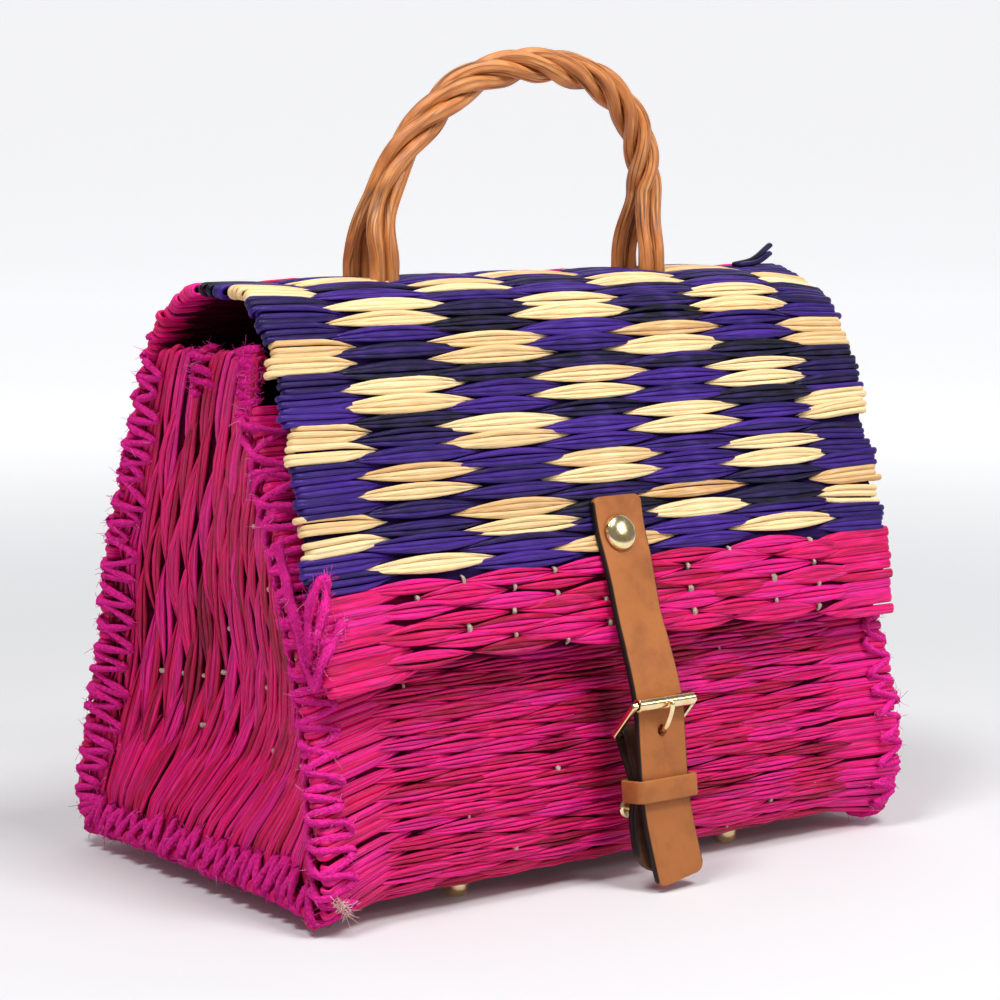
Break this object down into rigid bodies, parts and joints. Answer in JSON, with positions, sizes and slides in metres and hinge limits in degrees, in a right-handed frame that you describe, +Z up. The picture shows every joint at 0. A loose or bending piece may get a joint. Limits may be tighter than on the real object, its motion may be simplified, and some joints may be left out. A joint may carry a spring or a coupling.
{
  "type": "rush satchel bag",
  "caption": "Woven rush satchel with a fold-over flap, twisted wicker top handle, leather strap with roller buckle, and brass feet.",
  "frame": {"origin": "on the ground, under the middle of the whole bag's box, buckle included", "axes": "+X along the bag's length towards its right end, -Y towards the front with the strap, +Z up"},
  "size_m": [0.3, 0.216, 0.3383],
  "materials": {
    "pink_rush": "magenta dyed rush, woven over sisal twine, satin",
    "patterned_rush": "violet dyed and natural cream rush in a chequer, satin",
    "wicker": "peeled willow rods, satin",
    "leather": "tan leather, dark edges, matt",
    "brass": "polished pale gold plate"
  },
  "bodies": {
    "root": {"body_mat": "pink_rush", "flap_mat": "patterned_rush", "flap_hem": "pink_rush", "end_panel_left": "pink_rush", "end_panel_right": "pink_rush", "handle_strand_1": "wicker", "handle_strand_2": "wicker", "handle_strand_3": "wicker", "handle_strand_4": "wicker", "strap": "leather", "buckle_tab": "leather", "keeper": "leather", "buckle_frame": "brass", "buckle_roller": "brass", "buckle_prong": "brass", "snap_cap": "brass", "tab_rivet": "brass", "foot_front_left": "brass", "foot_back_left": "brass", "foot_front_right": "brass", "foot_back_right": "brass"}
  },
  "joints": []
}
